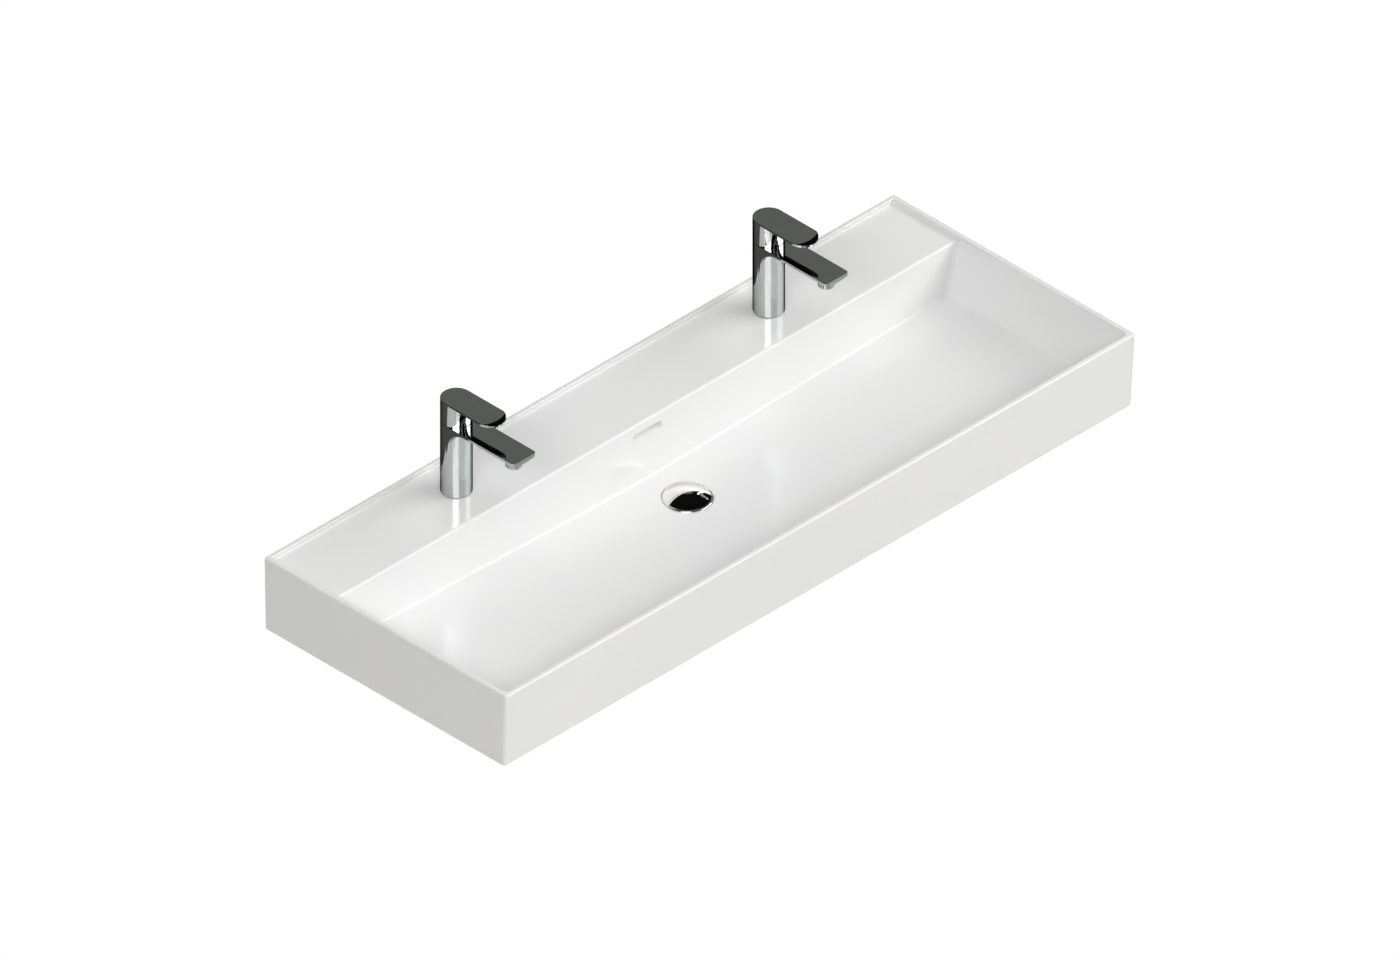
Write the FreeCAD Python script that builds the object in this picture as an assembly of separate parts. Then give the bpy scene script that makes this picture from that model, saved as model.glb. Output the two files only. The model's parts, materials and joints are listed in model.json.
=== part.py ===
import FreeCAD, Part
import math
import os

# Double washbasin: one ceramic basin, a click waste and two single-lever mixer taps.
# Frame: millimetres. X runs along the basin, Y points to the wall and Z up. The origin is the centre
# of the two wall-bolt holes, on the basin's back face and half way up it.
# Depths are measured down from the rim, reaches forward from the wall or from a tap's axis.

V = FreeCAD.Vector
overrun = 5.0            # how far a cutting shape runs past the face that it opens
near_enough = 0.05       # places closer than this count as the same

# Basin, outside
basin_width = 1210.0
basin_depth = 465.0
basin_height = 120.0
front_taper = 5.7        # the front leans in by this much from rim to base
side_taper = 2.3
front_corner_radius = 5.0
back_corner_radius = 3.2
rim_edge_radius = 3.0
base_edge_radius = 2.5

# Basin, inside
rim_width = 8.0
back_rim_width = 7.5
inner_rim_radius = 2.0
ledge_drop = 7.0         # from the rim down to the tap ledge
crest_reach = 130.6      # from the wall to the edge between ledge and bowl
crest_radius = 4.5
ledge_corner_radius = 2.5
front_bowl_corner_radius = 9.0
back_bowl_corner_radius = 7.0
floor_corner_radius = 6.5
wall_lean_share = 0.38   # run of the bowl's end and front walls for each unit of depth
back_lean_share = 0.132
end_floor_depth = 80.0   # depth of the bowl at its two ends
back_floor_depth = 94.5  # depth half way along the bowl's back wall
waste_floor_depth = 99.0
front_floor_depth = 95.0
valley_share = 0.09      # how softly the two halves of the floor meet, as a share of half their length
floor_columns = 17
floor_rows = 9

# Basin, underside
skin = 11.0              # thickness of the ceramic walls
back_skin = 12.0
ledge_thickness = 13.0
groove_depth = 55.0      # depth below the rim at which the groove round the bowl ends
web_thickness = 10.0
web_reach = 150.0        # from the centre to the first web on either side
web_pitch = 300.0
web_clearance = 12.0     # the webs stop this far above the base
web_count = 2

# Wall-bolt holes and tap holes
wall_bolt_spacing = 800.0
wall_bolt_hole_radius = 8.0
tap_spacing = 600.0
tap_reach = 65.0         # from the wall to a tap's axis
tap_hole_radius = 17.5

# Overflow
slot_length = 56.0
slot_height = 9.5
slot_corner_radius = 4.7
slot_depth = 25.5        # centre of the slot below the rim
duct_width = 62.0
duct_gap = 11.0          # clear width of the duct behind the bowl's back wall
duct_wall = 7.0
duct_run_height = 7.0    # clear height of the duct below the floor
duct_run_width = 38.0
duct_run_depth = 106.0   # depth of the top of that duct

# Waste hole in the ceramic
waste_reach = 209.0      # from the wall to the waste's axis
waste_hole_radius = 23.0
waste_seat_radius = 36.4
waste_seat_depth = 103.0
waste_boss_radius = 47.0
waste_boss_depth = 117.0
waste_spotface_radius = 33.5
waste_chamber_radius = 30.0

# Waste
flange_radius = 35.2
flange_thickness = 2.6
flange_edge_radius = 1.0
top_seal_thickness = 1.2
top_seal_radius = 32.0
waste_mouth_radius = 24.0
waste_cone_height = 7.0
waste_collar_radius = 22.6
waste_collar_height = 6.0
tail_radius = 20.955     # G 1 1/4 thread
tail_bore_radius = 18.4
tail_length = 45.0       # below the basin's base
trap_thread_length = 34.0
tail_groove_depth = 0.6  # groove between the trap's stretch of thread and the backnut's
tail_groove_width = 1.5
tail_slot_height = 6.0
tail_slot_width = 14.0
tail_slot_count = 4
tail_fit = 0.25          # radial clearance of what sits round the tail
bottom_seal_thickness = 3.0
bottom_seal_radius = 31.0
backnut_flat_radius = 27.5
backnut_height = 9.0
backnut_collar_radius = 30.5
backnut_collar_height = 2.0
cross_depth = 134.0      # depth of the top of the cross in the tail
cross_height = 7.0
cross_arm_width = 3.5
cross_arm_count = 3
cross_hub_radius = 8.0
barrel_thread_radius = 4.0
barrel_radius = 7.5
barrel_top_depth = 108.0
barrel_flat_depth = 1.0
barrel_floor = 3.0
stem_radius = 3.5
stem_fit = 0.06
stem_bottom_depth = 127.0

# Plug cap
cap_radius = 35.7
cap_edge_height = 2.0
cap_edge_radius = 1.7
cap_dome_radius = 32.6
cap_dome_rise = 8.0
cap_gap = 0.3            # between the cap and the flange when it is shut
cap_hub_radius = 8.0
cap_hub_height = 6.0
cap_hollow_inner = 9.5
cap_hollow_outer = 18.0
cap_hollow_height = 4.5
plug_seal_radius = 21.4
plug_seal_width = 2.6
plug_seal_height = 3.0

# Tap body; heights are above the ledge
tap_radius = 22.3
base_seal_thickness = 0.8
base_seal_radius = 21.3
base_seal_hole_radius = 18.6
body_top = 117.4
body_edge_radius = 0.6
spout_reach = 132.2      # from the tap's axis to the spout's tip
spout_half_width = 22.2
spout_tip_half_width = 22.0
spout_side_height = 4.8
spout_root_depth = 13.0
spout_tip_depth = 7.0
spout_corner_radius = 5.5
spout_edge_radius = 0.5
spout_low_edge_radius = 1.2
cove_radius = 31.0       # hollow between the body and the spout's sides
cove_reach = 37.5
cove_foot = 50.0         # height at which the spout's flat sides run out on the cylinder
fairing_reach = 60.0     # the fairing round the waterway, from the body to where it meets the spout
fairing_half_width = 11.0
fairing_root_depth = 24.0
fairing_root_side = 18.0
fairing_end_side = 7.0
spout_wall = 2.4
waterway_height = 3.4
waterway_half_width = 5.5
waterway_start = 12.0

# Aerator
aerator_reach = 110.0
aerator_boss_radius = 12.0
aerator_boss_bottom = 103.0
aerator_bottom = 95.0
aerator_radius = 11.25
aerator_thread_radius = 9.6
aerator_thread_length = 6.0
aerator_bore_radius = 8.2
aerator_fit = 0.1
aerator_edge_radius = 0.6
aerator_flat_radius = 10.6
aerator_flat_height = 3.0
insert_recess = 1.2
insert_depth = 9.0
insert_hole_radius = 0.85
insert_pitch = 2.9
insert_rings = 2
insert_lip = 1.0

# Cartridge, its chamber and its nut
chamber_floor = 72.0
cartridge_radius = 17.5
cartridge_fit = 0.15
cartridge_shoulder = 104.0
cartridge_neck_radius = 13.0
cartridge_neck_top = 110.0
nut_bore_radius = 19.2
nut_fit = 0.1
nut_height = 6.8
nut_hole_radius = 13.4
nut_notch_width = 4.0
nut_notch_depth = 2.2
nut_notch_count = 6
inlet_port_radius = 4.5
inlet_port_depth = 14.0
inlet_port_offset = 8.0
inlet_port_forward = 4.5
inlet_way_radius = 3.0

# Turret, pin and stem
turret_fit = 0.06
turret_spigot_radius = 6.0
turret_spigot_length = 7.0
turret_gap = 0.4
turret_disc_radius = 16.0
turret_disc_height = 3.8
pivot_back = 7.0         # from the tap's axis back to the level axis that the lever tilts on
pivot_height = 130.3
ear_inner = 5.3
ear_thickness = 4.0
ear_radius = 5.0
pin_radius = 2.0
pin_fit = 0.05
finger_radius = 2.5
finger_length = 17.0     # from the level axis down to the finger's end
finger_clearance = 0.6
post_half_width = 4.9
post_half_depth = 4.6
post_top = 144.0
post_bottom = 124.8

# Lever
tilt_angle = 15.0        # degrees
tilt_margin = 1.5        # degrees that the relief behind the hub opens further than the lever tilts
joint_gap = 0.8
lever_top = 154.0
lever_reach = 85.8
lever_edge_thickness = 2.2
lever_tip_edge_thickness = 3.2
lever_root_depth = 12.0
lever_tip_depth = 4.6
lever_corner_radius = 9.0
lever_front_radius = 23.0
lever_edge_radius = 0.5
nose_radius = 45.0       # the lever's top falls away to its front along this bow
nose_length = 8.5
nose_drop = 2.8
hub_wall = 3.2
hub_roof = 5.6
relief_start = 9.0       # behind the tap's axis
socket_half_width = 8.0
socket_half_depth = 7.0
socket_bottom = 136.6
socket_fit = 0.12
nub_half_width = 4.5
nub_reach = 79.5
nub_length = 9.0
nub_bottom = 143.1
nub_radius = 1.5
screw_height = 140.4
screw_radius = 2.5
screw_length = 6.0
screw_fit = 0.1
screw_socket_radius = 1.4
screw_socket_depth = 2.5
screw_cap_radius = 3.6
screw_cap_length = 2.4
screw_cap_recess = 0.5

# Fixing below the ledge
stud_back = 9.0          # from the tap's axis back to the stud
stud_radius = 4.0
stud_fit = 0.1
stud_in_body = 12.0
stud_length = 62.0
stud_hole_extra = 2.0
clamp_radius = 23.5
clamp_slot_half_width = 13.0
clamp_slot_back = 3.2
clamp_pad_thickness = 3.0
clamp_plate_thickness = 2.5
clamp_nut_flat_radius = 6.5
clamp_nut_height = 7.0

# Places worked out from the sizes above
rim_z = basin_height / 2
base_z = -basin_height / 2
ledge_z = rim_z - ledge_drop
half_width = basin_width / 2
waste_y = -waste_reach
tap_y = -tap_reach


def cylinder(radius, low, high, x=0, y=0):
    return Part.makeCylinder(radius, high - low, V(x, y, low))


def box(x_low, x_high, y_low, y_high, z_low, z_high):
    return Part.makeBox(x_high - x_low, y_high - y_low, z_high - z_low, V(x_low, y_low, z_low))


def prism_x(points, x_low, x_high):
    """Solid with a (y, z) outline, from x_low to x_high."""
    corners = [V(x_low, y, z) for y, z in points]
    face = Part.Face(Part.makePolygon(corners + corners[:1]))
    return face.extrude(V(x_high - x_low, 0, 0))


def prism_y(points, y_low, y_high):
    """Solid with an (x, z) outline, from y_low to y_high."""
    corners = [V(x, y_low, z) for x, z in points]
    face = Part.Face(Part.makePolygon(corners + corners[:1]))
    return face.extrude(V(0, y_high - y_low, 0))


def turned(points):
    """Solid of revolution about Z from (radius, z) points."""
    corners = [V(r, 0, z) for r, z in points]
    face = Part.Face(Part.makePolygon(corners + corners[:1]))
    return face.revolve(V(0, 0, 0), V(0, 0, 1), 360)


def ring(outer, inner, low, high):
    return cylinder(outer, low, high).cut(cylinder(inner, low - overrun, high + overrun))


def hexagon(flat_radius, low, high):
    corner = flat_radius / math.cos(math.pi / 6)
    corners = [V(corner * math.cos(n * math.pi / 3), corner * math.sin(n * math.pi / 3), low) for n in range(6)]
    return Part.Face(Part.makePolygon(corners + corners[:1])).extrude(V(0, 0, high - low))


def around(shape, count, start=0):
    """Copies of a shape at equal angles about Z, as a list."""
    copies = []
    for number in range(count):
        copy = shape.copy()
        copy.rotate(V(0, 0, 0), V(0, 0, 1), start + number * 360 / count)
        copies.append(copy)
    return copies


def fillet_where(shape, radius, chosen):
    """Round the edges whose middle point and direction the test chooses."""
    edges = []
    for edge in shape.Edges:
        if edge.Degenerated:
            continue
        middle = edge.valueAt((edge.FirstParameter + edge.LastParameter) / 2)
        direction = edge.tangentAt((edge.FirstParameter + edge.LastParameter) / 2)
        if chosen(middle, direction):
            edges.append(edge)
    return shape.makeFillet(radius, edges)


def near(value, target):
    return abs(value - target) < near_enough


def save(name, shape):
    shape.exportStep("parts/" + name + ".step")


# The basin

def outline_at(z, x_half, front):
    """Level outline of the basin with rounded front corners, run on past the wall's face."""
    flat = box(-x_half, x_half, front, overrun, z, z + overrun)
    flat = fillet_where(flat, front_corner_radius, lambda m, d: abs(d.z) > 0.9 and near(m.y, front))
    face = [f for f in flat.Faces if near(f.CenterOfMass.z, z) and abs(f.normalAt(0, 0).z) > 0.9][0]
    return face.OuterWire


def outer_block():
    top = outline_at(rim_z, half_width, -basin_depth)
    bottom = outline_at(base_z, half_width - side_taper, front_taper - basin_depth)
    block = Part.makeLoft([bottom, top], True, True)
    block = block.cut(box(-half_width - overrun, half_width + overrun, 0, 2 * overrun,
                          base_z - overrun, rim_z + overrun))
    block = fillet_where(block, back_corner_radius, lambda m, d: abs(d.z) > 0.9 and near(m.y, 0))
    block = fillet_where(block, rim_edge_radius, lambda m, d: near(m.z, rim_z))
    return fillet_where(block, base_edge_radius, lambda m, d: near(m.z, base_z))


def wall_depth_reach(depth, grow):
    """How far the bowl's end and front walls stand in from the rim's outer edge at a depth."""
    return rim_width + wall_lean_share * depth - grow * math.hypot(1, wall_lean_share)


def floor_depth(x, reach):
    """Depth of the bowl's floor below the rim."""
    half_length = half_width - wall_depth_reach(end_floor_depth, 0)
    soft = math.hypot(1, valley_share) - valley_share
    fall_share = 1 - (math.hypot(x / half_length, valley_share) - valley_share) / soft
    back = crest_reach + back_lean_share * back_floor_depth
    front = basin_depth - wall_depth_reach(front_floor_depth, 0)
    edge_depth, edge_reach = (back_floor_depth, back) if reach < waste_reach else (front_floor_depth, front)
    turn = min(1, abs(reach - waste_reach) / abs(edge_reach - waste_reach))
    centre = edge_depth + (waste_floor_depth - edge_depth) * (1 + math.cos(math.pi * turn)) / 2
    return end_floor_depth + (centre - end_floor_depth) * fall_share


def floor_block(grow):
    """Everything above the bowl's floor, which falls from both ends to the waste."""
    rows = []
    for column in range(floor_columns):
        x = half_width * (2 * column / (floor_columns - 1) - 1)
        reaches = [crest_reach + (basin_depth - crest_reach) * row / (floor_rows - 1) for row in range(floor_rows)]
        reaches = [crest_reach - skin * 2] + reaches
        rows.append([V(x, -reach, rim_z - floor_depth(x, reach) - grow) for reach in reaches])
    surface = Part.BSplineSurface()
    surface.interpolate(rows)
    return surface.toShape().extrude(V(0, 0, basin_height + overrun))


def bowl_form(grow):
    """Rim recess, tap ledge and bowl as one solid; grow moves its walls and floor outward."""
    low = basin_height + overrun
    side_top = half_width - wall_depth_reach(-overrun, grow)
    side_low = half_width - wall_depth_reach(low, grow)
    ends = [(-side_top, rim_z + overrun), (side_top, rim_z + overrun),
            (side_low, rim_z - low), (-side_low, rim_z - low)]
    back_push = grow * math.hypot(1, back_lean_share)
    crest_back = -crest_reach + back_push
    back_low = crest_back - back_lean_share * (low - ledge_drop)
    ledge_low = ledge_z - (ledge_thickness if grow else 0)
    rim_back = -back_rim_width + grow
    length = [(rim_back, rim_z + overrun), (rim_back, ledge_low), (crest_back, ledge_low),
              (back_low, rim_z - low), (-basin_depth + wall_depth_reach(low, grow), rim_z - low),
              (-basin_depth + wall_depth_reach(-overrun, grow), rim_z + overrun)]
    trough = prism_y(ends, -basin_depth - overrun, overrun)
    section = prism_x(length, -half_width, half_width)
    form = trough.common(section)
    ledge_part = form.common(box(-half_width, half_width, crest_back, overrun, base_z - overrun, rim_z + overrun))
    bowl_part = form.common(box(-half_width, half_width, -basin_depth, crest_back, base_z - overrun,
                                rim_z + overrun))
    bowl_part = bowl_part.common(floor_block(grow))
    return bowl_part.fuse(ledge_part).removeSplitter().Solids[0]


def rounded_bowl():
    """The bowl and ledge recess with every inner corner rounded."""
    form = bowl_form(0)
    behind_crest = -crest_reach - back_lean_share * basin_height
    middle_x = half_width / 2
    form = fillet_where(form, front_bowl_corner_radius, lambda m, d: abs(d.z) > 0.5 and m.y < -basin_depth / 2)
    form = fillet_where(form, back_bowl_corner_radius,
                        lambda m, d: abs(d.z) > 0.5 and behind_crest < m.y < -crest_reach)
    form = fillet_where(form, floor_corner_radius, lambda m, d: m.z < rim_z - end_floor_depth / 2)
    form = fillet_where(form, ledge_corner_radius,
                        lambda m, d: near(m.z, ledge_z) and near(m.y, -back_rim_width)
                        or near(m.z, ledge_z) and -crest_reach < m.y < -back_rim_width and abs(m.x) > middle_x)
    return fillet_where(form, crest_radius,
                        lambda m, d: near(m.z, ledge_z) and near(m.y, -crest_reach) and abs(m.x) < middle_x)


def underside():
    """The hollow below the ledge and the groove round the bowl, both open at the base."""
    low = base_z - overrun
    inner_half = half_width - side_taper - skin
    front = front_taper + skin - basin_depth
    grown = bowl_form(skin)
    back_hollow = box(-inner_half, inner_half, -waste_reach, -back_skin, low, rim_z)
    groove = box(-inner_half, inner_half, front, -back_skin, low, rim_z - groove_depth)
    hollow = back_hollow.fuse(groove).cut(grown)
    for number in range(web_count):
        x = web_reach + web_pitch * number
        for side in (-1, 1):
            web = box(side * x - web_thickness / 2, side * x + web_thickness / 2, -crest_reach, 0,
                      base_z + web_clearance, rim_z)
            hollow = hollow.cut(web)
    return hollow


def duct_form(wall):
    """The overflow's way down behind the bowl and under its floor; wall makes it the ceramic round it."""
    half = duct_width / 2 + wall
    run_half = duct_run_width / 2 + wall
    slot_top = slot_depth - slot_height / 2 - wall
    run_top = duct_run_depth - wall
    run_low = duct_run_depth + duct_run_height + wall
    wall_at_top = -crest_reach - back_lean_share * (slot_top - ledge_drop) + skin
    wall_at_low = -crest_reach - back_lean_share * (run_low - ledge_drop) + skin
    sink = skin / 2 if wall else 0
    down = [(wall_at_top - sink, rim_z - slot_top), (wall_at_top + duct_gap + wall, rim_z - slot_top),
            (wall_at_low + duct_gap + wall, rim_z - run_low), (wall_at_low - sink, rim_z - run_low)]
    along = box(-run_half, run_half, waste_y, wall_at_low + duct_gap + wall, rim_z - run_low, rim_z - run_top)
    return prism_x(down, -half, half).fuse(along)


def overflow_slot():
    """Round-ended slot from the bowl into the duct."""
    low = rim_z - slot_depth - slot_height / 2
    front = -crest_reach - skin
    slot = box(-slot_length / 2, slot_length / 2, front, -crest_reach + skin + duct_gap / 2, low, low + slot_height)
    return fillet_where(slot, slot_corner_radius, lambda m, d: abs(d.y) > 0.9)


def make_basin():
    basin = outer_block().cut(rounded_bowl())
    boss = cylinder(waste_boss_radius, rim_z - waste_boss_depth, rim_z - waste_seat_depth, 0, waste_y)
    hollow = underside().cut(duct_form(duct_wall)).cut(boss)
    basin = basin.cut(hollow)
    basin = basin.cut(duct_form(0)).cut(overflow_slot())
    chamber_top = rim_z - duct_run_depth
    chamber = cylinder(waste_chamber_radius, chamber_top - duct_run_height, chamber_top, 0, waste_y)
    seat = cylinder(waste_seat_radius, rim_z - waste_seat_depth, rim_z, 0, waste_y)
    hole = cylinder(waste_hole_radius, base_z - overrun, rim_z, 0, waste_y)
    spotface = cylinder(waste_spotface_radius, base_z - overrun, rim_z - waste_boss_depth, 0, waste_y)
    basin = basin.cut(chamber).cut(seat).cut(hole).cut(spotface)
    for side in (-1, 1):
        basin = basin.cut(cylinder(tap_hole_radius, base_z, rim_z, side * tap_spacing / 2, tap_y))
        bolt_hole = Part.makeCylinder(wall_bolt_hole_radius, back_skin + 2 * overrun,
                                      V(side * wall_bolt_spacing / 2, -back_skin - overrun, 0), V(0, 1, 0))
        basin = basin.cut(bolt_hole)
    return fillet_where(basin, inner_rim_radius, on_inner_rim)


def on_inner_rim(middle, direction):
    """Whether an edge is the rim's inner one."""
    inside = abs(middle.x) < half_width - rim_width / 2 - rim_edge_radius / 2
    inside = inside and -basin_depth + rim_width / 2 + rim_edge_radius / 2 < middle.y
    return near(middle.z, rim_z) and inside and middle.y < -back_rim_width / 2 - rim_edge_radius / 2


# The waste

def tail_slots():
    """Openings in the tail that let the overflow's water in."""
    middle = rim_z - duct_run_depth - duct_run_height / 2
    low = middle - tail_slot_height / 2
    slot = box(0, tail_radius + overrun, -tail_slot_width / 2, tail_slot_width / 2, low, low + tail_slot_height)
    return around(slot, tail_slot_count, 45)


def make_waste_body():
    flange_low = rim_z - waste_seat_depth + top_seal_thickness
    top = flange_low + flange_thickness
    tail_end = base_z - tail_length
    collar_low = flange_low - waste_collar_height
    groove_low = tail_end + trap_thread_length
    groove_radius = tail_radius - tail_groove_depth
    body = turned([(tail_bore_radius, tail_end), (tail_radius, tail_end), (tail_radius, groove_low),
                   (groove_radius, groove_low), (groove_radius, groove_low + tail_groove_width),
                   (tail_radius, groove_low + tail_groove_width), (tail_radius, collar_low),
                   (waste_collar_radius, collar_low), (waste_collar_radius, flange_low),
                   (flange_radius, flange_low), (flange_radius, top), (waste_mouth_radius, top),
                   (tail_bore_radius, top - waste_cone_height)])
    body = fillet_where(body, flange_edge_radius, lambda m, d: near(m.z, top) and near(abs(m.x), flange_radius))
    for slot in tail_slots():
        body = body.cut(slot)
    cross_top = rim_z - cross_depth
    cross = cylinder(cross_hub_radius, cross_top - cross_height, cross_top)
    arm = box(0, tail_bore_radius + tail_fit, -cross_arm_width / 2, cross_arm_width / 2,
              cross_top - cross_height, cross_top)
    for copy in around(arm, cross_arm_count, 90):
        cross = cross.fuse(copy)
    thread = cylinder(barrel_thread_radius, cross_top - cross_height - overrun, cross_top + overrun)
    return body.fuse(cross.cut(thread)).removeSplitter()


def make_waste_top_seal():
    low = rim_z - waste_seat_depth
    return ring(top_seal_radius, waste_hole_radius, low, low + top_seal_thickness)


def make_waste_bottom_seal():
    top = rim_z - waste_boss_depth
    return ring(bottom_seal_radius, tail_radius + tail_fit, top - bottom_seal_thickness, top)


def make_waste_backnut():
    top = rim_z - waste_boss_depth - bottom_seal_thickness
    collar = cylinder(backnut_collar_radius, top - backnut_collar_height, top)
    nut = hexagon(backnut_flat_radius, top - backnut_height, top).fuse(collar)
    nut = nut.cut(cylinder(tail_radius + tail_fit, top - backnut_height - overrun, top + overrun))
    return nut.removeSplitter()


def make_click_barrel():
    """Barrel that holds the click mechanism, screwed into the cross by its lower end."""
    cross_top = rim_z - cross_depth
    top = rim_z - barrel_top_depth
    bore_low = rim_z - stem_bottom_depth - barrel_floor / 2
    barrel = cylinder(barrel_radius, cross_top, top)
    barrel = barrel.fuse(cylinder(barrel_thread_radius, cross_top - cross_height, cross_top))
    barrel = barrel.cut(cylinder(stem_radius + stem_fit, bore_low, top + overrun))
    flat = box(barrel_radius - barrel_flat_depth, barrel_radius + overrun, -barrel_radius, barrel_radius,
               cross_top, cross_top + cross_height)
    for copy in around(flat, 2):
        barrel = barrel.cut(copy)
    return barrel.removeSplitter()


def cap_underside():
    """Height of the cap's lower face, just above the flange."""
    return rim_z - waste_seat_depth + top_seal_thickness + flange_thickness + cap_gap


def make_plug_cap():
    low = cap_underside()
    edge_top = low + cap_edge_height
    dome_top = edge_top + cap_dome_rise
    shoulder = V(cap_dome_radius, 0, edge_top)
    sphere_radius = (cap_dome_radius ** 2 + cap_dome_rise ** 2) / (2 * cap_dome_rise)
    half_angle = math.asin(cap_dome_radius / sphere_radius) / 2
    crown = V(sphere_radius * math.sin(half_angle), 0, dome_top - sphere_radius * (1 - math.cos(half_angle)))
    dome = Part.Arc(shoulder, crown, V(0, 0, dome_top)).toShape()
    hub_low = low - cap_hub_height
    corners = [V(0, 0, dome_top), V(0, 0, low), V(stem_radius, 0, low), V(stem_radius, 0, hub_low),
               V(cap_hub_radius, 0, hub_low), V(cap_hub_radius, 0, low),
               V(cap_radius, 0, low), V(cap_radius, 0, edge_top), shoulder]
    wire = Part.Wire(Part.makePolygon(corners).Edges + [dome])
    cap = Part.Face(wire).revolve(V(0, 0, 0), V(0, 0, 1), 360)
    cap = cap.cut(ring(cap_hollow_outer, cap_hollow_inner, low - overrun, low + cap_hollow_height))
    return fillet_where(cap, cap_edge_radius, lambda m, d: near(m.z, edge_top) and near(abs(m.x), cap_radius))


def make_plug_stem():
    return cylinder(stem_radius, rim_z - stem_bottom_depth, cap_underside())


def make_plug_seal():
    """Rubber ring under the cap, round the mouth of the cone."""
    low = cap_underside()
    return ring(plug_seal_radius, plug_seal_radius - plug_seal_width, low - plug_seal_height, low)


# One tap, modelled about its axis with the ledge at height zero

def boat(start, end, half_start, half_end, side_start, side_end, depth_start, depth_end, top):
    """Flat-topped bar with a bowed underside, from one reach to another."""
    sections = []
    for reach, half, side, depth in ((start, half_start, side_start, depth_start),
                                     (end, half_end, side_end, depth_end)):
        left = V(-half, -reach, top)
        left_low = V(-half, -reach, top - side)
        keel = V(0, -reach, top - depth)
        right_low = V(half, -reach, top - side)
        right = V(half, -reach, top)
        bow = Part.Arc(left_low, keel, right_low).toShape()
        edges = [Part.makeLine(right, left), Part.makeLine(left, left_low), bow, Part.makeLine(right_low, right)]
        sections.append(Part.Wire(edges))
    return Part.makeLoft(sections, True, True)


def spout_keel(reach):
    """Height of the spout's underside on its middle line."""
    plate = spout_root_depth + (spout_tip_depth - spout_root_depth) * reach / spout_reach
    meeting = spout_root_depth + (spout_tip_depth - spout_root_depth) * fairing_reach / spout_reach
    fairing = fairing_root_depth + (meeting - fairing_root_depth) * reach / fairing_reach
    return body_top - max(plate, fairing)


def spout_slab():
    """Flat-topped slab with flat sides that sweep down to the body in a cove."""
    side_low = body_top - spout_side_height
    cove_height = side_low - cove_radius
    slope = math.sqrt(1 / 2)
    tip = V(0, -spout_reach, side_low)
    tip_top = V(0, -spout_reach, body_top)
    crown = V(0, -cove_reach, side_low)
    bend = V(0, cove_radius * slope - cove_reach, cove_height + cove_radius * slope)
    foot = V(0, cove_radius - cove_reach, cove_height)
    cove = Part.Arc(crown, bend, foot).toShape()
    wire = Part.Wire([Part.makeLine(tip_top, tip), Part.makeLine(tip, crown), cove]
                     + Part.makePolygon([foot, V(0, 0, cove_foot), V(0, 0, body_top), tip_top]).Edges)
    slab = Part.Face(wire).extrude(V(2 * tap_radius, 0, 0))
    slab.translate(V(-tap_radius, 0, 0))
    slab = slab.common(spout_plan())
    slab = fillet_where(slab, spout_edge_radius, lambda m, d: near(m.z, body_top) and m.y < -tap_radius)
    return fillet_where(slab, spout_low_edge_radius,
                        lambda m, d: abs(m.x) > spout_tip_half_width - spout_corner_radius and abs(d.x) < slope
                        and m.z < side_low + near_enough and m.y < -near_enough)


def spout_plan():
    """Upright prism over the spout's outline."""
    corners = [V(-spout_half_width, 0, 0), V(spout_half_width, 0, 0), V(spout_tip_half_width, -spout_reach, 0),
               V(-spout_tip_half_width, -spout_reach, 0)]
    prism = Part.Face(Part.makePolygon(corners + corners[:1])).extrude(V(0, 0, body_top))
    return fillet_where(prism, spout_corner_radius, lambda m, d: near(m.y, -spout_reach) and abs(d.z) > 0.9)


def make_tap_body():
    body = cylinder(tap_radius, base_seal_thickness, body_top)
    body = fillet_where(body, body_edge_radius, lambda m, d: near(m.z, base_seal_thickness))
    inset = spout_low_edge_radius + near_enough
    bow = boat(0, spout_reach, spout_half_width - inset, spout_tip_half_width - inset, spout_side_height,
               spout_side_height, spout_root_depth, spout_tip_depth, body_top - spout_edge_radius)
    bow.translate(V(0, 0, spout_edge_radius))
    fairing = boat(0, fairing_reach, fairing_half_width, fairing_half_width, fairing_root_side, fairing_end_side,
                   body_top - spout_keel(0), body_top - spout_keel(fairing_reach), body_top)
    boss = cylinder(aerator_boss_radius, aerator_boss_bottom, spout_keel(aerator_reach) + overrun / 2,
                    0, -aerator_reach)
    low_spout = bow.fuse(fairing).common(spout_plan())
    body = body.fuse(spout_slab()).fuse(low_spout).fuse(boss).removeSplitter()
    for cut in tap_body_cuts():
        body = body.cut(cut)
    return body


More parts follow.
